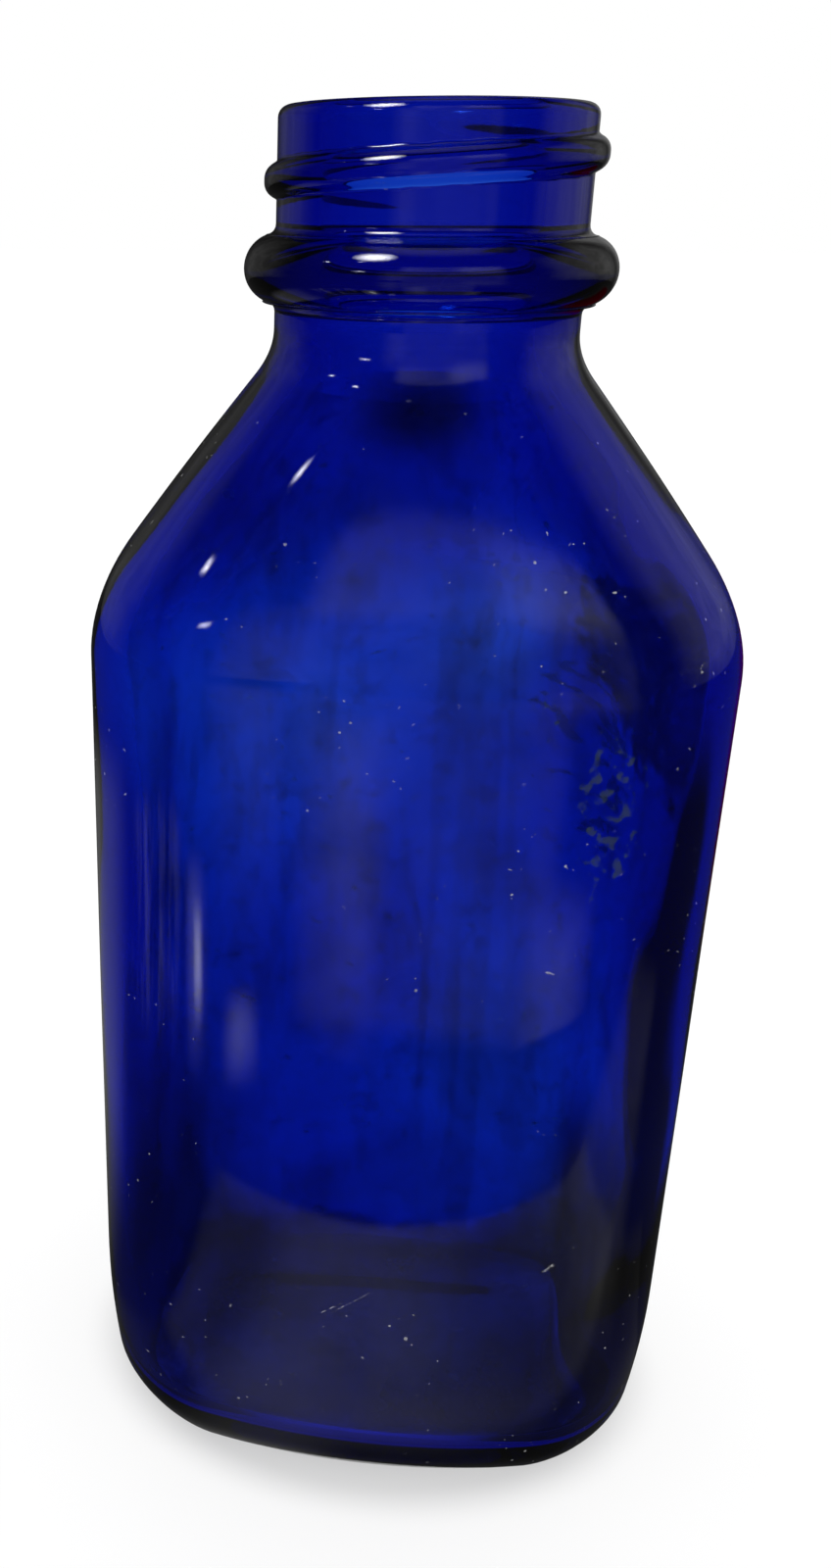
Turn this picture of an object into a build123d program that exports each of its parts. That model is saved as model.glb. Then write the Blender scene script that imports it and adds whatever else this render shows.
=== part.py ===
"""Antique medicine bottle: one piece of machine-moulded cobalt glass.

Millimetres, +Z up. The origin is the middle of the base, on the table, and the broad front
faces -Y. The glass is the outside solid less the hollow, with the screw thread joined on.
"""
import os
from math import atan, atan2, cos, degrees, hypot, radians, sin, sqrt, tan

from build123d import *

# Body, outside
body_width = 56.0          # across the narrow sides, X
body_depth = 41.4          # across the broad faces, Y
front_radius = 75.0        # bow of the broad faces, in plan
side_radius = 45.0         # bow of the narrow sides, in plan
corner_radius = 15.0       # upright corners, in plan
body_height = 85.5         # table to the corner between the sides and the sloping shoulder
heel_height = 18.0         # the lowest part of the body narrows over this height
heel_inset = 1.5           # and is this much smaller all round at the table
heel_fillet = 5.0
shoulder_height = 20.4     # rise of the sloping shoulder
shoulder_fillet = 13.0

# Neck and finish, outside
neck_height = 18.7         # top of the slope to the rim
neck_diameter = 24.9
neck_fillet = 5.0          # where the neck runs out into the shoulder
bead_drop = 12.1           # rim to the middle of the ring below the thread
bead_radius = 2.7          # of the ring's round section
bead_projection = 2.55     # how far the ring stands out from the neck
bead_fillet = 0.8
lip_fillet = 0.9

# Screw thread: right-handed, a single ridge whose middle is at the front
thread_height = 1.05       # how far the ridge stands out from the neck
thread_width = 2.5
thread_pitch = 4.23
thread_drop = 4.5          # rim to the ridge's middle, at the front
thread_turns = 1.05
thread_fade = 45.0         # degrees over which each end sinks into the neck
thread_root = 0.5          # depth of the ridge's foot in the neck's glass
thread_sections = 36

# Hollow, and the underside
wall = 3.0
neck_wall = 3.15
base_thickness = 3.2
hollow_heel_fillet = 4.0
hollow_shoulder_fillet = 10.0
hollow_neck_fillet = 8.0
mouth_fillet = 0.8
bearing_width = 3.5        # flat ring that the bottle stands on, inside the heel's fillet
push_up = 0.8              # rise of the oval hollow in the underside, within that ring
push_up_slope = 2.5        # width of the slope up to it

level_tolerance = 0.01     # for finding edges by their height

# Worked out from the sizes above
half_width = body_width / 2
half_depth = body_depth / 2
neck_radius = neck_diameter / 2
bore_radius = neck_radius - neck_wall
neck_foot = body_height + shoulder_height
height = neck_foot + neck_height
bead_level = height - bead_drop
bead_rise = sqrt(bead_radius**2 - (bead_radius - bead_projection) ** 2)
shoulder_lean = atan((half_width - neck_radius) / shoulder_height)
hollow_drop = wall * tan(shoulder_lean / 2)
hollow_shoulder = body_height - hollow_drop
hollow_neck = neck_foot - hollow_drop
floor_inset = wall + heel_inset * (1 - base_thickness / heel_height)
bearing_inset = heel_inset + heel_fillet + bearing_width

# Centres of the plan's arcs. The corner's arc touches those of the side and the front.
side_centre = (half_width - side_radius, 0)
front_centre = (0, half_depth - front_radius)
side_reach = side_radius - corner_radius
front_reach = front_radius - corner_radius
centre_gap = hypot(side_centre[0], front_centre[1])
gap_angle = atan2(-front_centre[1], side_centre[0])
along = (front_reach**2 - side_reach**2 + centre_gap**2) / (2 * centre_gap)
across = sqrt(front_reach**2 - along**2)
corner_centre = (
    along * cos(gap_angle) + across * sin(gap_angle),
    front_centre[1] + along * sin(gap_angle) - across * cos(gap_angle),
)
side_end = degrees(atan2(corner_centre[1], corner_centre[0] - side_centre[0]))
front_end = degrees(atan2(corner_centre[1] - front_centre[1], corner_centre[0]))


def four_quarters(side, corner, front):
    """Closed outline of four like quarters. Each arc is given as its centre and its radius."""
    with BuildSketch() as outline:
        with BuildLine():
            CenterArc(side[0], side[1], 0, side_end)
            CenterArc(corner[0], corner[1], side_end, front_end - side_end)
            CenterArc(front[0], front[1], front_end, 90 - front_end)
            mirror(about=Plane.YZ)
            mirror(about=Plane.XZ)
        make_face()
    return outline.sketch


def body_plan(inset):
    """The body's plan, drawn in by an inset all round."""
    return four_quarters(
        (side_centre, side_radius - inset),
        (corner_centre, corner_radius - inset),
        (front_centre, front_radius - inset),
    )


def round_plan(radius):
    """A circle whose arcs part where those of the body's plan do."""
    return four_quarters(((0, 0), radius), ((0, 0), radius), ((0, 0), radius))


def level_edges(solid, level):
    """The edges of a solid that lie flat at a height."""
    flat = solid.edges().filter_by(lambda edge: edge.bounding_box().size.Z < level_tolerance)
    return flat.filter_by(lambda edge: abs(edge.center().Z - level) < level_tolerance)


# The outside, with no thread
with BuildPart() as outside:
    with BuildSketch():
        add(body_plan(heel_inset))
    with BuildSketch(Plane.XY.offset(heel_height)):
        add(body_plan(0))
    loft(ruled=True)
    with BuildSketch(Plane.XY.offset(heel_height)):
        add(body_plan(0))
    extrude(amount=body_height - heel_height)
    with BuildSketch(Plane.XY.offset(body_height)):
        add(body_plan(0))
    with BuildSketch(Plane.XY.offset(neck_foot)):
        add(round_plan(neck_radius))
    loft(ruled=True)
    with BuildSketch(Plane.XY.offset(neck_foot)):
        Circle(neck_radius)
    extrude(amount=neck_height)
    fillet(level_edges(outside, body_height), shoulder_fillet)
    fillet(level_edges(outside, neck_foot), neck_fillet)
    fillet(level_edges(outside, 0), heel_fillet)
    fillet(level_edges(outside, height), lip_fillet)
    with BuildSketch(Plane.XZ):
        with Locations((neck_radius + bead_projection - bead_radius, bead_level)):
            Circle(bead_radius)
    revolve(axis=Axis.Z)
    fillet(level_edges(outside, bead_level - bead_rise), bead_fillet)
    fillet(level_edges(outside, bead_level + bead_rise), bead_fillet)

# The hollow, from the floor of the inside up through the mouth
with BuildPart() as hollow:
    with BuildSketch(Plane.XY.offset(base_thickness)):
        add(body_plan(floor_inset))
    with BuildSketch(Plane.XY.offset(heel_height)):
        add(body_plan(wall))
    loft(ruled=True)
    with BuildSketch(Plane.XY.offset(heel_height)):
        add(body_plan(wall))
    extrude(amount=hollow_shoulder - heel_height)
    with BuildSketch(Plane.XY.offset(hollow_shoulder)):
        add(body_plan(wall))
    with BuildSketch(Plane.XY.offset(hollow_neck)):
        add(round_plan(bore_radius))
    loft(ruled=True)
    with BuildSketch(Plane.XY.offset(hollow_neck)):
        Circle(bore_radius)
    extrude(amount=height - hollow_neck)
    fillet(level_edges(hollow, base_thickness), hollow_heel_fillet)
    fillet(level_edges(hollow, hollow_shoulder), hollow_shoulder_fillet)
    fillet(level_edges(hollow, hollow_neck), hollow_neck_fillet)

# The screw thread. Each section stands upright on the neck, further round and higher up.
with BuildPart() as thread:
    half_sweep = 180 * thread_turns
    for number in range(thread_sections + 1):
        turned = half_sweep * (2 * number / thread_sections - 1)
        share = min(1, (half_sweep - abs(turned)) / thread_fade)
        crest = thread_height * share**2 * (3 - 2 * share) - thread_root / 2 * (1 - share)
        angle = radians(turned - 90)
        level = height - thread_drop + thread_pitch * turned / 360
        upright = Plane(
            origin=(0, 0, level), x_dir=(cos(angle), sin(angle), 0), z_dir=(sin(angle), -cos(angle), 0)
        )
        with BuildSketch(upright):
            with BuildLine():
                lower = (neck_radius - thread_root, -thread_width / 2)
                upper = (neck_radius - thread_root, thread_width / 2)
                ThreePointArc(lower, (neck_radius + crest, 0), upper)
                Line(upper, lower)
            make_face()
    loft()

with BuildPart() as glass_bottle:
    add(outside.part)
    add(thread.part)
    add(hollow.part, mode=Mode.SUBTRACT)
    with BuildSketch():
        Ellipse(half_width - bearing_inset, half_depth - bearing_inset)
    with BuildSketch(Plane.XY.offset(push_up)):
        Ellipse(half_width - bearing_inset - push_up_slope, half_depth - bearing_inset - push_up_slope)
    loft(ruled=True, mode=Mode.SUBTRACT)
    inner_rim = level_edges(glass_bottle, height).sort_by(SortBy.LENGTH)[0]
    fillet(inner_rim, mouth_fillet)

os.makedirs("parts", exist_ok=True)
glass_bottle.part.label = "glass_bottle"
export_step(glass_bottle.part, "parts/glass_bottle.step")
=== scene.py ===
"""Antique cobalt glass medicine bottle, with its glass, its dried deposits and a plain studio.

Metres, in the frame's own axes: +Z up, the broad front faces -Y, the base stands at z = 0.
"""
from collections import namedtuple
from math import atan2, cos, degrees, hypot, pi, radians, sin, sqrt

import bpy
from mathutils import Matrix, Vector, noise


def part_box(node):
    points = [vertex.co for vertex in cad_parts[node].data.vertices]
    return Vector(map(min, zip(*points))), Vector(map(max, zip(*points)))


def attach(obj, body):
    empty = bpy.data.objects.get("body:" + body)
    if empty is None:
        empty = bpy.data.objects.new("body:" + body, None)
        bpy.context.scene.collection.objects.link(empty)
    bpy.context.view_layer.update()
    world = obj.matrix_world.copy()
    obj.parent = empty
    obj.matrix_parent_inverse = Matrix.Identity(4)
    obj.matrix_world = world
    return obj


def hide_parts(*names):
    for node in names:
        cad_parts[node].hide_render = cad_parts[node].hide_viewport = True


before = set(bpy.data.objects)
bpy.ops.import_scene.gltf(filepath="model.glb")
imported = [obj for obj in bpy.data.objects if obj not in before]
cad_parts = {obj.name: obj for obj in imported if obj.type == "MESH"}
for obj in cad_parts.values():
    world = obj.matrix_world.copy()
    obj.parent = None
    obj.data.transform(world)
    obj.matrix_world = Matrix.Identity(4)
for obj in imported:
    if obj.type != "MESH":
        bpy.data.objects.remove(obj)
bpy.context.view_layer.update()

MM = 0.001

# The body's plan: four bowed sides, and corners that touch their neighbours
_, box_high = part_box("glass_bottle")
half_width = box_high.x
half_depth = box_high.y
height = box_high.z
front_radius = 75 * MM
side_radius = 45 * MM
corner_radius = 15 * MM

# Levels and roundings up the outside
body_height = 85.5 * MM
shoulder_height = 20.4 * MM
shoulder_softness = 4.6 * MM
shoulder_fullness = 0.22 * MM
neck_softness = 1.9 * MM
heel_fillet = 5 * MM
tuck = 1.5 * MM
tuck_height = 18 * MM
heel_round = 0.55 * MM
heel_round_height = 16 * MM
neck_radius = 12.45 * MM
bead_drop = 12.1 * MM
bead_radius = 2.7 * MM
bead_projection = 2.55 * MM
bead_fillet = 0.8 * MM
lip_fillet = 0.9 * MM
bearing_width = 3.5 * MM
push_up = 0.8 * MM
dish_slope = 0.3

# The screw thread
thread_height = 1.0 * MM
thread_width = 2.7 * MM
thread_pitch = 4.23 * MM
thread_drop = 4.5 * MM
thread_turns = 1.05
thread_fade = 45
thread_crown = 2.6
thread_flank = 0.75

# The hollow, whose bore is drawn in a little, so that the neck has its depth of colour
wall = 3 * MM
bore_radius = 8.9 * MM
floor_thickness = 3.2 * MM
floor_fillet = 4 * MM
hollow_drop = 1.0 * MM
mouth_fillet = 0.8 * MM
hollow_shoulder_softness = 4 * MM
hollow_neck_softness = 2.6 * MM

# How uneven the glass is: what gathers at its corners, and the thin places, each with its
# middle, its reach and how much thinner it is
wave_fade = 14 * MM
right_corners = 0.45 * MM
left_corners = 0.2 * MM
thinnest_wall = 1.1 * MM
thin_places = (
    (Vector((-13, -16, 79)) * MM, 24 * MM, 1.4 * MM),
    (Vector((7, -16, 90)) * MM, 13 * MM, 1.6 * MM),
    (Vector((12, -17, 52)) * MM, 18 * MM, 0.6 * MM),
    (Vector((21, -13, 34)) * MM, 22 * MM, 1.0 * MM),
)

# The thin skins of residue inside and of wear outside, each in two layers
film_gap = 0.006
film_top = 103 * MM
film_floor_lift = 25 * MM
film_lift_height = 10 * MM
wear_gap = 0.02 * MM
near_layer = 1
far_layer = 1.4

merge_distance = 0.005 * MM


# ---------------------------------------------------------------- modelling helpers


def deselect():
    if bpy.context.mode != "OBJECT":
        bpy.ops.object.mode_set(mode="OBJECT")
    bpy.ops.object.select_all(action="DESELECT")


def arc_meeting_point():
    """Centre of a corner's arc, which touches those of the side and of the front."""
    side_x = half_width - side_radius
    front_y = half_depth - front_radius
    to_front = front_radius - corner_radius
    to_side = side_radius - corner_radius
    gap = hypot(side_x, front_y)
    along = (to_front**2 - to_side**2 + gap**2) / (2 * gap)
    across = sqrt(to_front**2 - along**2)
    turn = atan2(-front_y, side_x)
    return (
        along * cos(turn) + across * sin(turn),
        front_y + along * sin(turn) - across * cos(turn),
    )


def plan_columns(side_count, corner_count, front_count):
    """One entry for each upright line of the wall: its arc's centre and radius, and its normal."""
    corner = arc_meeting_point()
    side = (half_width - side_radius, 0)
    front = (0, half_depth - front_radius)
    side_end = atan2(corner[1], corner[0] - side[0])
    front_end = atan2(corner[1] - front[1], corner[0])
    quarter = []
    for centre, radius, start, end, count in (
        (side, side_radius, 0, side_end, side_count),
        (corner, corner_radius, side_end, front_end, corner_count),
        (front, front_radius, front_end, pi / 2, front_count),
    ):
        for number in range(count):
            angle = start + (end - start) * number / count
            quarter.append((Vector(centre), radius, Vector((cos(angle), sin(angle)))))
    quarter.append((Vector(front), front_radius, Vector((0, 1))))
    columns = []
    for flip in ((1, 1), (-1, 1), (-1, -1), (1, -1)):
        turned = [
            (Vector((c.x * flip[0], c.y * flip[1])), r, Vector((n.x * flip[0], n.y * flip[1])))
            for c, r, n in quarter
        ]
        if flip[0] * flip[1] < 0:
            turned.reverse()
        columns += turned[:-1]
    return columns


def rise(level, foot, top, foot_softness, top_softness):
    """0 below the foot of a slope and 1 above its top, with both of its corners rounded."""
    length = top - foot
    if level < foot + foot_softness:
        return max(0, level - foot + foot_softness) ** 2 / (4 * foot_softness * length)
    if level > top - top_softness:
        return 1 - max(0, top + top_softness - level) ** 2 / (4 * top_softness * length)
    return (level - foot) / length


def steps(start, end, count):
    """count + 1 values from start to end."""
    return [start + (end - start) * number / count for number in range(count + 1)]


def smooth(value):
    value = min(1, max(0, value))
    return value * value * (3 - 2 * value)


# A row is a ring of the body's plan, drawn in by inset, which turns into a circle of the radius
# as share goes to 1. shrink draws it towards the bottle's axis, for the underside and the floor
# of the hollow, and wave says how much of the hollow's unevenness it has.
Row = namedtuple("Row", "level inset share radius shrink wave", defaults=(0, 0, 1, 0))


def tuck_at(level):
    return tuck * max(0, 1 - level / tuck_height) ** 2


def underside_rows():
    foot = tuck + heel_fillet
    dish = foot + bearing_width
    rows = []
    for share in steps(0, 1, 12):
        rows.append(Row(push_up * smooth((1 - share) / dish_slope), dish, shrink=share))
    rows += [Row(0, inset) for inset in steps(dish, foot, 3)[1:]]
    return rows


def outer_body_rows():
    rows = []
    for angle in steps(0, pi / 2, 14)[1:]:
        level = heel_fillet * (1 - cos(angle))
        rows.append(Row(level, tuck_at(level) + heel_fillet * (1 - sin(angle))))
    rows += [Row(z, tuck_at(z)) for z in steps(heel_fillet, body_height - shoulder_softness, 46)[1:]]
    neck_foot = body_height + shoulder_height
    levels = steps(body_height - shoulder_softness, body_height + shoulder_softness, 14)[1:]
    levels += steps(levels[-1], neck_foot - neck_softness, 14)[1:]
    levels += steps(levels[-1], neck_foot + neck_softness, 12)[1:]
    for z in levels:
        share = rise(z, body_height, neck_foot, shoulder_softness, neck_softness)
        fullness = shoulder_fullness * sin(pi * min(1, max(0, share)))
        rows.append(Row(z, -fullness, share, neck_radius + fullness))
    return rows


def ring_row(radius, level):
    return Row(level, 0, 1, radius)


def finish_rows():
    """The plain neck, the round ring, the wall that carries the thread, and the lip."""
    bead_level = height - bead_drop
    middle = neck_radius + bead_projection - bead_radius
    # The fillet's centre is off the neck by its own radius, and off the ring's middle by both
    reach = bead_radius + bead_fillet
    fillet_radius = neck_radius + bead_fillet
    fillet_offset = sqrt(reach**2 - (fillet_radius - middle) ** 2)
    lean = atan2(fillet_offset, fillet_radius - middle)
    rows = []
    lower = bead_level - fillet_offset
    upper = bead_level + fillet_offset
    for angle in steps(pi, lean, 6):
        radius = fillet_radius + bead_fillet * cos(angle)
        rows.append(ring_row(radius, lower + bead_fillet * sin(angle)))
    for angle in steps(-lean, lean, 24)[1:]:
        radius = middle + bead_radius * cos(angle)
        rows.append(ring_row(radius, bead_level + bead_radius * sin(angle)))
    for angle in steps(lean, pi, 6)[1:]:
        radius = fillet_radius + bead_fillet * cos(angle)
        rows.append(ring_row(radius, upper - bead_fillet * sin(angle)))
    rows += [ring_row(neck_radius, z) for z in steps(upper, height - lip_fillet, 48)[1:]]
    for angle in steps(0, pi / 2, 6)[1:]:
        radius = neck_radius - lip_fillet * (1 - cos(angle))
        rows.append(ring_row(radius, height - lip_fillet * (1 - sin(angle))))
    return rows


def hollow_rows():
    """Down from the lip, through the bore and the shoulder, to the middle of the floor."""
    rows = []
    for angle in steps(0, pi / 2, 6):
        radius = bore_radius + mouth_fillet * (1 - sin(angle))
        rows.append(ring_row(radius, height - mouth_fillet * (1 - cos(angle))))
    foot = body_height - hollow_drop
    top = foot + shoulder_height
    levels = steps(height - mouth_fillet, top + hollow_neck_softness, 12)[1:]
    levels += steps(levels[-1], top - hollow_neck_softness, 12)[1:]
    levels += steps(levels[-1], foot + hollow_shoulder_softness, 14)[1:]
    levels += steps(levels[-1], foot - hollow_shoulder_softness, 14)[1:]
    floor_top = floor_thickness + floor_fillet
    levels += steps(levels[-1], floor_top, 44)[1:]
    for z in levels:
        share = rise(z, foot, top, hollow_shoulder_softness, hollow_neck_softness)
        wave = smooth((top - z) / wave_fade) * smooth((z - floor_top) / wave_fade)
        rows.append(Row(z, wall + tuck_at(z), share, bore_radius, 1, wave))
    for angle in steps(pi / 2, 0, 14)[1:]:
        z = floor_thickness + floor_fillet * (1 - cos(angle))
        rows.append(Row(z, wall + tuck_at(z) + floor_fillet * (1 - sin(angle))))
    last = rows[-1]
    rows += [Row(floor_thickness, last.inset, shrink=share) for share in steps(1, 0, 14)[1:]]
    return rows


def row_point(row, column):
    centre, arc_radius, normal = column
    flat = (centre + normal * (arc_radius - row.inset)) * (1 - row.share)
    flat += normal * row.radius * row.share
    return Vector((flat.x * row.shrink, flat.y * row.shrink, row.level))


def cornering(normal):
    """0 in the middle of a side, and 1 where the wall faces halfway between two sides."""
    return (2 * abs(normal.x * normal.y)) ** 2


def lumps_at(point, round_about, upright, start):
    """Smooth noise, with so many lumps in a metre round the bottle, and up it."""
    flat = (point.x * round_about, point.y * round_about)
    return noise.noise(Vector((*flat, point.z * upright + start)))


def unevenness(point, normal):
    """How far the hollow's wall stands in from an even one: blown glass gathers at its corners."""
    streaks = lumps_at(point, 120, 16, 0)
    swells = lumps_at(point, 48, 38, 7)
    ripples = lumps_at(point, 300, 60, 3)
    depth = 0.28 * MM * streaks + 0.5 * MM * swells + 0.05 * MM * ripples
    gathered = right_corners if normal.x > 0 else left_corners
    depth += gathered * cornering(normal)
    for place, reach, thinning in thin_places:
        depth -= thinning * smooth(1 - (point - place).length / reach)
    return max(depth, thinnest_wall - wall)


def surface_wave(point):
    """How far the outside stands off its plan, from the chill of the mould."""
    broad = lumps_at(point, 55, 30, 11)
    fine = lumps_at(point, 160, 45, 5)
    return 0.07 * MM * broad + 0.026 * MM * fine


def thread_lift(point):
    """How far the thread stands out of the neck at a point of it."""
    half_sweep = 180 * thread_turns
    front = degrees(atan2(point.y, point.x)) + 90
    lift = 0
    for turned in (front - 360, front, front + 360):
        if abs(turned) > half_sweep:
            continue
        ridge = height - thread_drop + thread_pitch * turned / 360
        across = abs(point.z - ridge) / (thread_width / 2)
        if across < 1:
            fade = smooth((half_sweep - abs(turned)) / thread_fade)
            lift = max(lift, fade * thread_height * (1 - across**thread_crown) ** thread_flank)
    return lift


def skin(name, rows, columns, shape):
    """A closed skin wrapped from a flat grid. Its first and its last row are single points."""
    deselect()
    across, up = len(columns), len(rows) - 1
    bpy.ops.mesh.primitive_grid_add(x_subdivisions=across, y_subdivisions=up, size=height)
    made = bpy.context.object
    made.name = made.data.name = name
    for number, vertex in enumerate(made.data.vertices):
        row, column = divmod(number, across + 1)
        vertex.co = shape(rows[row], columns[column % across])
    bpy.ops.object.mode_set(mode="EDIT")
    bpy.ops.mesh.select_all(action="SELECT")
    bpy.ops.mesh.remove_doubles(threshold=merge_distance)
    bpy.ops.mesh.normals_make_consistent(inside=False)
    bpy.ops.object.mode_set(mode="OBJECT")
    bpy.ops.object.shade_smooth()
    return made


def glass_shape(row, column):
    """A point of the glass: the hollow is uneven, the outside is wavy, and the neck is threaded."""
    point = row_point(row, column)
    normal = column[2]
    if row.wave:
        point.xy -= normal * unevenness(point, normal) * row.wave
    elif row.share < 1 and row.inset < wall and row.shrink == 1:
        fade = smooth(point.z / wave_fade) * smooth((1 - row.share) * 2)
        point.xy += normal * surface_wave(point) * fade
        low = smooth(1 - point.z / heel_round_height)
        point.xy -= normal * heel_round * low * cornering(normal)
    elif row.radius == neck_radius and row.share == 1:
        point.xy += normal * thread_lift(point)
    return point


# ---------------------------------------------------------------- materials


class Wire:
    """A socket in a material's nodes. Arithmetic on it adds Math nodes."""

    def __init__(self, finish, socket):
        self.finish = finish
        self.socket = socket

    def maths(self, operation, *values):
        sockets = dict(enumerate(values))
        return self.finish.node("ShaderNodeMath", {"operation": operation}, sockets)

    def __add__(self, other):
        return self.maths("ADD", self, other)

    def __radd__(self, other):
        return self.maths("ADD", other, self)

    def __sub__(self, other):
        return self.maths("SUBTRACT", self, other)

    def __rsub__(self, other):
        return self.maths("SUBTRACT", other, self)

    def __mul__(self, other):
        return self.maths("MULTIPLY", self, other)

    def __rmul__(self, other):
        return self.maths("MULTIPLY", other, self)

    def __truediv__(self, other):
        return self.maths("DIVIDE", self, other)

    def __abs__(self):
        return self.maths("ABSOLUTE", self)

    def root(self):
        return self.maths("SQRT", self)

    def larger(self, other):
        return self.maths("MAXIMUM", self, other)

    def eased(self, start, end):
        """0 at start, 1 at end, and a smooth change between them."""
        settings = {"interpolation_type": "SMOOTHSTEP"}
        sockets = {0: self, 1: start, 2: end, 3: 0, 4: 1}
        return self.finish.node("ShaderNodeMapRange", settings, sockets)


class Finish:
    """A material, or the world, while its nodes are put together."""

    def __init__(self, owner):
        owner.use_nodes = True
        self.owner = owner
        self.tree = owner.node_tree
        self.tree.nodes.clear()

    def node(self, kind, settings, sockets, out=0):
        made = self.tree.nodes.new(kind)
        for name, value in settings.items():
            setattr(made, name, value)
        for name, value in sockets.items():
            if isinstance(value, Wire):
                self.tree.links.new(value.socket, made.inputs[name])
            else:
                made.inputs[name].default_value = value
        return Wire(self, made.outputs[out])

    def place(self):
        """Object coordinates, in millimetres."""
        metres = self.node("ShaderNodeTexCoord", {}, {}, "Object")
        return self.node("ShaderNodeVectorMath", {"operation": "SCALE"}, {0: metres, "Scale": 1 / MM})

    def parts(self, vector):
        return [self.node("ShaderNodeSeparateXYZ", {}, {0: vector}, axis) for axis in "XYZ"]

    def stretched(self, vector, by):
        return self.node("ShaderNodeVectorMath", {"operation": "MULTIPLY"}, {0: vector, 1: by})

    def grain(self, vector, size, detail=3, roughness=0.55, warp=0):
        """Cloudy noise from 0 to 1, with lumps of about the size, in millimetres."""
        sockets = {"Vector": vector, "Scale": 1 / size, "Detail": detail}
        sockets |= {"Roughness": roughness, "Distortion": warp}
        return self.node("ShaderNodeTexNoise", {}, sockets, "Fac")

    def near(self, vector, centre, reach):
        """1 at the centre, falling to 0 at the reach along each axis."""
        off = self.node("ShaderNodeVectorMath", {"operation": "SUBTRACT"}, {0: vector, 1: centre})
        share = self.node("ShaderNodeVectorMath", {"operation": "DIVIDE"}, {0: off, 1: reach})
        far = self.node("ShaderNodeVectorMath", {"operation": "LENGTH"}, {0: share}, "Value")
        return 1 - far.eased(0, 1)

    def colour_between(self, share, first, second):
        """The first colour where the share is 0, and the second where it is 1."""
        # The Mix node keeps its colours in its sockets 6 and 7, and gives its own out at 2
        sockets = {0: share, 6: first, 7: second}
        return self.node("ShaderNodeMix", {"data_type": "RGBA"}, sockets, 2)

    def done(self, surface, volume=None):
        """The material or the world, with its output linked."""
        kind = "World" if isinstance(self.owner, bpy.types.World) else "Material"
        sockets = {"Surface": surface}
        if volume:
            sockets["Volume"] = volume
        out = self.tree.nodes.new("ShaderNodeOutput" + kind)
        for name, value in sockets.items():
            self.tree.links.new(value.socket, out.inputs[name])
        return self.owner


def grey(level):
    return (level, level, level, 1)


def cobalt_glass():
    """Clear glass that takes its blue from its depth, with a fine pitting and an orange peel."""
    finish = Finish(bpy.data.materials.new("cobalt_glass"))
    place = finish.place()
    pitting = finish.grain(place, 0.9, 4, 0.6)
    orange_peel = finish.grain(finish.stretched(place, (1, 1, 0.35)), 5, 2, 0.5)
    relief = pitting * 0.0015 + orange_peel * 0.012
    normal = finish.node(
        "ShaderNodeBump", {}, {"Strength": 1, "Distance": MM, "Height": relief}, "Normal"
    )
    surface = finish.node(
        "ShaderNodeBsdfPrincipled",
        {},
        {
            "Base Color": (1, 1, 1, 1),
            "Roughness": 0.03,
            "IOR": 1.51,
            "Transmission Weight": 1,
            "Normal": normal,
        },
    )
    colour = finish.node(
        "ShaderNodeVolumeAbsorption", {}, {"Color": (0.0, 0.37, 0.843, 1), "Density": 1167}
    )
    return finish.done(surface, colour)


def dried_residue():
    """What dried on the inside: a dark crust and crumbs, thin clouds, drips and a sediment."""
    finish = Finish(bpy.data.materials.new("dried_residue"))
    place = finish.place()
    across, back, level = finish.parts(place)
    lumps = finish.grain(place, 7, 2, 0.5)
    spots = finish.grain(place, 2.4, 4, 0.62)
    clouds = finish.grain(place, 16, 3, 0.5, 0.4)
    streaks = finish.grain(finish.stretched(place, (1, 1, 0.25)), 4.5, 4, 0.6)
    drips = finish.grain(finish.stretched(place, (1, 1, 0.03)), 3.2, 2, 0.5)
    dust = finish.grain(place, 0.7, 3, 0.6)
    crust_zone = finish.near(place, (26, 3, 80), (12, 26, 20)).eased(0, 0.6)
    crust = (crust_zone * 0.5 + spots * 0.75 + lumps * 0.4).eased(0.82, 1.05)
    flecks = finish.grain(finish.stretched(place, (0.5, 0.5, 1)), 1.3, 2, 0.45)
    crumb_zone = finish.near(place, (21, 12, 67), (7, 13, 16)).eased(0, 0.7)
    crumbs = (flecks + crumb_zone * 0.19).eased(0.69, 0.80)
    throat = finish.near(place, (0, 12, 99.5), (9, 9, 7)) * (0.2 + lumps * 0.8)
    left_cloud = finish.near(place, (-19, 12, 24), (15, 14, 26)) * clouds.eased(0.35, 0.65) * 0.3
    drift = clouds.eased(0.45, 0.75) * 0.22 + streaks.eased(0.5, 0.8) * 0.22
    drift = drift + drips.eased(0.6, 0.7) * 0.1 + spots.eased(0.55, 0.72) * 0.14
    bank = (across.eased(8, 24) * 8 + 3.0 + lumps * 3 - level + spots * 3).eased(0, 1.4)
    sediment = bank * (0.1 + 0.3 * streaks.eased(0.3, 0.75) + 0.3 * dust)
    floor_dust = (1 - level.eased(3.4, 4.6)) * (0.25 + 0.35 * clouds.eased(0.3, 0.7) + 0.2 * dust)
    sediment = sediment.larger(floor_dust)
    alpha = (crust * (0.25 + 0.55 * spots)).larger(crumbs * 0.36).larger(throat).larger(left_cloud)
    alpha = alpha.larger(drift).larger(sediment)
    grime = finish.colour_between(
        lumps.eased(0.35, 0.65), (0.03, 0.035, 0.025, 1), (0.20, 0.21, 0.16, 1)
    )
    tint = finish.colour_between(crumbs, grime, (0.75, 0.85, 0.4, 1))
    surface = finish.node(
        "ShaderNodeBsdfPrincipled",
        {},
        {"Base Color": tint, "Roughness": 0.9, "Specular IOR Level": 0.2, "Alpha": alpha},
    )
    return finish.done(surface)


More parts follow.
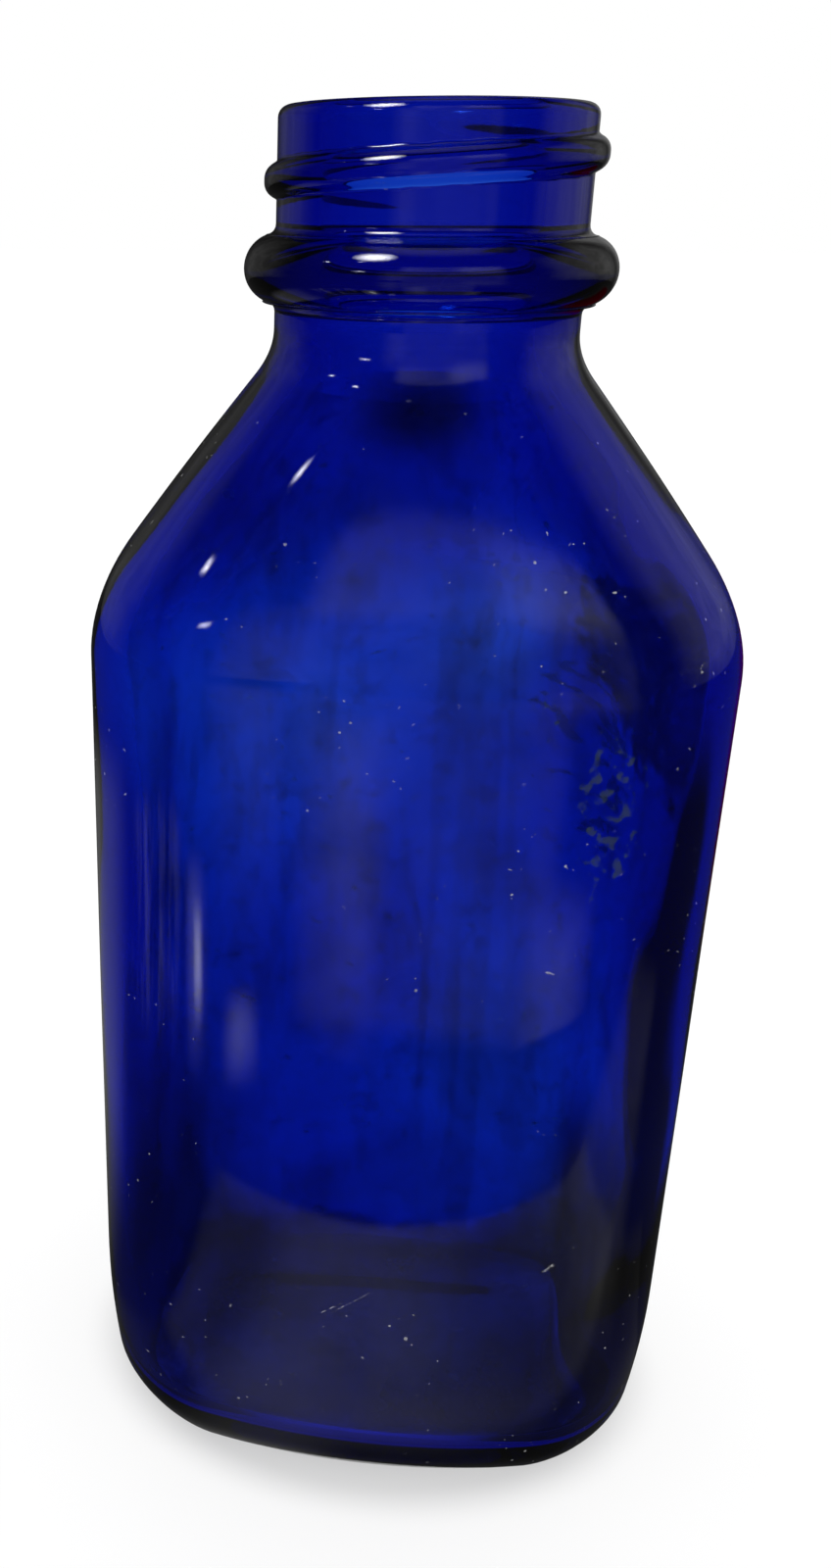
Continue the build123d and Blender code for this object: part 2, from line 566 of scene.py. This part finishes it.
def window(across, up, centre, half, edge):
    """1 in a soft-edged oblong and 0 outside it: centre, half and edge are (across, up)."""
    sides = abs(across - centre[0])
    tops = abs(up - centre[1])
    inside = 1 - sides.eased(half[0] - edge[0], half[0] + edge[0])
    return inside * (1 - tops.eased(half[1] - edge[1], half[1] + edge[1]))


def windows(across, up, lights):
    """Soft-edged oblongs of light added up: each has its strength, centre, half and edge."""
    total = 0
    for strength, centre, half, edge in lights:
        total = total + window(across, up, centre, half, edge) * strength
    return total


def surface_wear():
    """Pale specks, two scratches and a bruise, scuffs at the heel and a patch of olive crumbs."""
    finish = Finish(bpy.data.materials.new("surface_wear"))
    place = finish.place()
    across, back, level = finish.parts(place)
    patches = finish.grain(place, 13, 3, 0.55)
    specks = finish.grain(place, 0.55, 1, 0.4).eased(0.745, 0.79) * patches.eased(0.48, 0.62)
    ragged = finish.grain(place, 0.8, 4, 0.7)
    front = 1 - back.eased(-14, -10)
    along = across * 0.78 + level * 0.63
    aside = across * 0.63 - level * 0.78
    marks = specks * 0.4
    for centre, half in (
        ((12.2, -19.8), (3.0, 0.05)),
        ((11.2, -20.2), (1.4, 0.04)),
        ((30, -12.4), (0.6, 0.16)),
    ):
        edge = (half[0] * 0.4, half[1])
        mark = window(along, aside + ragged * 0.5, centre, half, edge)
        marks = marks + mark * ragged.eased(0.42, 0.62) * front * 0.5
    scuffs = finish.grain(finish.stretched(place, (1, 1, 0.3)), 0.8, 3, 0.7)
    heel = 1 - level.eased(2, 9)
    marks = marks + heel * scuffs.eased(0.66, 0.76) * 0.35
    crumb_zone = finish.near(place, (16, -19, 73), (5, 9, 12)).eased(0, 0.7)
    crumb_zone = crumb_zone.larger(finish.near(place, (11, -19, 80), (3, 9, 6)) * 0.9)
    crumb_zone = crumb_zone.larger(finish.near(place, (11, -19, 55), (3, 9, 4)) * 0.8)
    crumbs = (finish.grain(place, 1.05, 3, 0.55) + crumb_zone * 0.21).eased(0.73, 0.84)
    crumbs = crumbs * crumb_zone.eased(0, 0.4)
    tint = finish.colour_between(crumbs.eased(0, 0.06), grey(0.75), (0.05, 0.085, 0.012, 1))
    surface = finish.node(
        "ShaderNodeBsdfPrincipled",
        {},
        {"Base Color": tint, "Roughness": 0.8, "Alpha": marks.eased(0, 1).larger(crumbs * 0.33)},
    )
    return finish.done(surface)


# ---------------------------------------------------------------- the bottle


def dress(piece, material):
    """Gives a piece its material, and has it ride with the bottle."""
    piece.data.materials.clear()
    piece.data.materials.append(material)
    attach(piece, "root")


columns = plan_columns(6, 20, 14)
hollow = hollow_rows()
bottle = skin(
    "bottle_glass",
    underside_rows() + outer_body_rows() + finish_rows() + hollow,
    columns,
    glass_shape,
)
dress(bottle, cobalt_glass())
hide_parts("glass_bottle")


def film_shape(row, column):
    """The residue's thin skin lies just inside the hollow's wall."""
    layer, wall_row = row
    point = glass_shape(wall_row, column)
    gap = film_gap * layer
    lift = gap * film_floor_lift * max(0, 1 - point.z / film_lift_height)
    return Vector((point.x * (1 - gap), point.y * (1 - gap), point.z + lift))


lining = [row for row in hollow if row.level < film_top]
film = skin(
    "dried_residue",
    [(near_layer, row) for row in reversed(lining)] + [(far_layer, row) for row in lining],
    columns,
    film_shape,
)
dress(film, dried_residue())


def wear_shape(row, column):
    """The wear's thin skin lies just off the glass."""
    layer, wall_row = row
    point = glass_shape(wall_row, column)
    point.xy += column[2] * wear_gap * layer
    return point


coat = outer_body_rows()
wear = skin(
    "surface_wear",
    [(near_layer, row) for row in coat] + [(far_layer, row) for row in reversed(coat)],
    columns,
    wear_shape,
)
dress(wear, surface_wear())


# ---------------------------------------------------------------- the studio

floor_size = 6
room_radius = 0.7
card_hole = 0.9
card_spread = 60
lamp_place = Vector((-17.5, -26, 140)) * MM
lamp_turn = (radians(40), 0, radians(-51))
lamp_radius = 8 * MM


def lit(finish, strength, colour=(1, 1, 1, 1)):
    """Light of the strength and the colour."""
    return finish.node("ShaderNodeEmission", {}, {"Color": colour, "Strength": strength})


def background_rays(finish):
    """1 for the rays that see the white background: camera, glossy and transmission."""
    rays = [
        finish.node("ShaderNodeLightPath", {}, {}, name)
        for name in ("Is Camera Ray", "Is Glossy Ray", "Is Transmission Ray")
    ]
    return rays[0].larger(rays[1]).larger(rays[2])


def paper():
    """White paper. It keeps a part of the shadow, and meets the white backdrop with no line. Under
    and just round the bottle's foot its glow is turned down, which is a painted contact shadow.
    """
    finish = Finish(bpy.data.materials.new("paper"))
    sheet = finish.node("ShaderNodeBsdfDiffuse", {}, {"Color": grey(0.3)})
    # Painted shadow: under and just round the bottle's foot, the glow is turned down by up to 0.3
    footprint_shadow = finish.near(finish.place(), (0, 0, 0), (40, 30, 10)).eased(0.1, 0.3)
    glow = lit(finish, background_rays(finish) * (1 - footprint_shadow * 0.3) * 0.76)
    return finish.done(finish.node("ShaderNodeAddShader", {}, {0: sheet, 1: glow}))


def studio_card(card, material, behind_glass=False):
    """A card that is seen only in the glass: in its gloss, or else through it."""
    card.data.materials.append(material)
    card.visible_camera = False
    card.visible_diffuse = False
    card.visible_glossy = not behind_glass
    card.visible_transmission = behind_glass
    card.visible_volume_scatter = False
    card.visible_shadow = False
    material.cycles.emission_sampling = "NONE"


def bearing(x, y):
    """Degrees round the bottle, from 0 straight before it to 90 on its right."""
    return x.maths("ARCTAN2", x, y * -1) * degrees(1)


def distance(x, y):
    """How far a place is from the bottle's axis."""
    return (x * x + y * y).root()


# Lights in the dark room: strength, then (bearing, elevation) of centre, half and edge in degrees
front_windows = (
    (0.22, (13.5, 0), (30.5, 33.5), (4, 1.5)),
    (0.42, (30, 24), (12, 8), (7, 5)),
    (0.15, (-9, 22), (7, 10), (6, 6)),
    (0.4, (-22, 4), (6, 14), (6, 10)),
)
side_windows = (
    (0.26, (112, 20), (30, 22), (14, 10)),
    (0.12, (-128, 15), (24, 20), (14, 10)),
    (0.22, (176, 25), (22, 24), (8, 10)),
)
small_lamps = (
    (20, (-71, 36), (2, 0.5), (1.6, 0.45)),
    (20, (-48, 43), (2, 0.5), (1.6, 0.45)),
    (12, (-43, 18), (3, 0.9), (2.4, 0.81)),
)
body_middle = 60


def room():
    """The dark room round the bottle, as its gloss shows it, with its windows and lamps."""
    finish = Finish(bpy.data.materials.new("room"))
    place = finish.place()
    x, y, z = finish.parts(place)
    azimuth = bearing(x, y)
    up = z - body_middle
    elevation = up.maths("ARCTAN2", up, distance(x, y)) * degrees(1)
    mottle = finish.grain(place, 110, 3, 0.6, 0.6)
    front = windows(azimuth, elevation, front_windows) * (0.5 + 0.5 * elevation.eased(16, 26))
    ceiling = elevation.eased(60, 80) * 0.3
    light = front + mottle * 0.04 + windows(azimuth, elevation, side_windows) + ceiling
    light = light * (0.45 + 1.1 * mottle) + windows(azimuth, elevation, small_lamps)
    return finish.done(lit(finish, light))


# Lights on the table: strength, then (bearing, distance) of centre, half and edge, in degrees
# and millimetres
table_tops = (
    (0.13, (5.5, 600), (22, 496), (2.5, 5)),
    (0.22, (33, 760), (10.5, 420), (8, 150)),
    (0.26, (-7, 175), (4.5, 60), (4.5, 40)),
    (0.4, (30, 124), (4, 22), (4, 20)),
    (0.2, (-24, 330), (5, 150), (6, 90)),
)
table_glints = (
    (0.8, (-27, 101), (2, 8), (2, 7)),
    (3, (-38.5, 124), (1.6, 12), (1.6, 11)),
    (0.7, (-40, 128), (3.5, 22), (3.5, 18)),
    (0.16, (-122, 120), (24, 70), (12, 30)),
)


def table():
    """The table before the bottle, as its gloss shows it: a lit sheet, a dark gap, a grey top."""
    finish = Finish(bpy.data.materials.new("table"))
    place = finish.place()
    x, y, _ = finish.parts(place)
    mottle = finish.grain(place, 22, 3, 0.6, 0.5)
    middle = window(x, y, (1, -44), (11, 20), (16, 6)) * 0.65 + 0.35
    sheet = window(x, y, (12, -30), (48, 30), (3, 1.2)) * (0.12 + mottle * 0.4) * middle
    sheet = sheet * (1 - y.eased(-27, -21) * 0.85)
    sheet = sheet + window(x, y, (80, -40), (40, 21), (12, 8)) * (0.02 + mottle * 0.16)
    sheet = sheet + window(x, y, (-12, -36), (7, 22), (5, 4)) * 0.14
    far = distance(x, y)
    turned = bearing(x, y)
    beyond = 1 - y.eased(-94.5, -92)
    top = windows(turned, far, table_tops)
    top = top * beyond * (0.4 + 1.2 * mottle) * (1 - far.eased(400, 450) * 0.3)
    across = finish.node("ShaderNodeCombineXYZ", {}, {0: turned, 1: far * 0.05, 2: 0})
    streaks = finish.grain(across, 5, 4, 0.7).eased(0.42, 0.68)
    glints = windows(turned, far, table_glints)
    glints = glints + window(turned, far, (-66, 145), (16, 36), (8, 16)) * streaks * 0.3
    ember = window(turned, far, (158, 280), (20, 160), (8, 60)) * 0.025
    colour = finish.colour_between(ember.eased(0, 0.02), (1, 1, 1, 1), (1, 0.02, 0.08, 1))
    return finish.done(lit(finish, sheet + top + glints + ember + 0.02, colour))


def shade():
    """What the glass shows of the paper: dim close by and to the sides, white straight behind."""
    finish = Finish(bpy.data.materials.new("shade"))
    x, y, _ = finish.parts(finish.place())
    side = abs(bearing(x, y))
    far = distance(x, y)
    behind = side.eased(138, 160)
    close_by = (1 - far.eased(42, 78)) * (1 - behind)
    right = x.eased(-20, 20)
    flags = (1 - (side - right * 26).eased(82, 90)) * side.eased(22, 40) * (1 - far.eased(190, 270))
    dim = (close_by * side.eased(0, 60)).larger(flags)
    return finish.done(lit(finish, 1 - dim * (0.8 + 0.12 * right)))


def ring_card(name, level):
    """A flat card round the bottle's foot, with a hole that the foot covers."""
    bpy.ops.mesh.primitive_circle_add(vertices=96, radius=1, location=(0, 0, level))
    card = bpy.context.object
    card.name = name
    hole = (half_width * card_hole, half_depth * card_hole)
    for vertex in card.data.vertices:
        vertex.co.xy = (vertex.co.x * hole[0], vertex.co.y * hole[1])
    bpy.ops.object.mode_set(mode="EDIT")
    bpy.ops.mesh.select_all(action="SELECT")
    bpy.ops.mesh.extrude_edges_move()
    bpy.ops.transform.resize(value=(card_spread, card_spread, 1))
    bpy.ops.object.mode_set(mode="OBJECT")
    bpy.ops.object.transform_apply(location=True, rotation=True, scale=True)
    return card


def neck_lamp():
    """A small lamp above the neck, which shows in the ring, the thread and the lip."""
    bpy.ops.mesh.primitive_circle_add(
        vertices=32,
        radius=lamp_radius,
        fill_type="NGON",
        location=lamp_place,
        rotation=lamp_turn,
    )
    lamp = bpy.context.object
    lamp.name = "neck_lamp"
    bpy.ops.object.transform_apply(location=True, rotation=True, scale=True)
    return lamp


def lamp_glow():
    """Bright in the lamp's middle, and fading towards its rim."""
    finish = Finish(bpy.data.materials.new("lamp"))
    middle = finish.near(finish.place(), lamp_place / MM, (9, 9, 9))
    return finish.done(lit(finish, middle * 30))


deselect()
bpy.ops.mesh.primitive_plane_add(size=floor_size)
floor = bpy.context.object
floor.name = "floor"
floor.data.materials.append(paper())

bpy.ops.mesh.primitive_ico_sphere_add(subdivisions=5, radius=room_radius)
surround = bpy.context.object
surround.name = "surround"
studio_card(surround, room())

studio_card(neck_lamp(), lamp_glow())
studio_card(ring_card("table_card", 0.3 * MM), table())
studio_card(ring_card("shade_card", 0.2 * MM), shade(), behind_glass=True)

studio = Finish(bpy.data.worlds.new("studio"))
bpy.context.scene.world = studio.owner
studio.done(studio.node("ShaderNodeBackground", {}, {"Color": grey(1), "Strength": 1}))

camera_data = bpy.data.cameras.new("camera")
camera = bpy.data.objects.new("camera", camera_data)
bpy.context.scene.collection.objects.link(camera)
camera.location = Vector((-2.64, -122.42, 118.41)) * MM
camera.rotation_euler = (radians(68.08), 0, radians(7.43))
camera_data.sensor_width = 36
camera_data.lens = 32.3235
camera_data.shift_x = 0.1365
camera_data.shift_y = -0.0176
camera_data.clip_start = 1 * MM

scene = bpy.context.scene
scene.camera = camera
scene.view_settings.view_transform = "Standard"
scene.cycles.max_bounces = 32
scene.cycles.transmission_bounces = 32
scene.cycles.glossy_bounces = 16
scene.cycles.transparent_max_bounces = 32
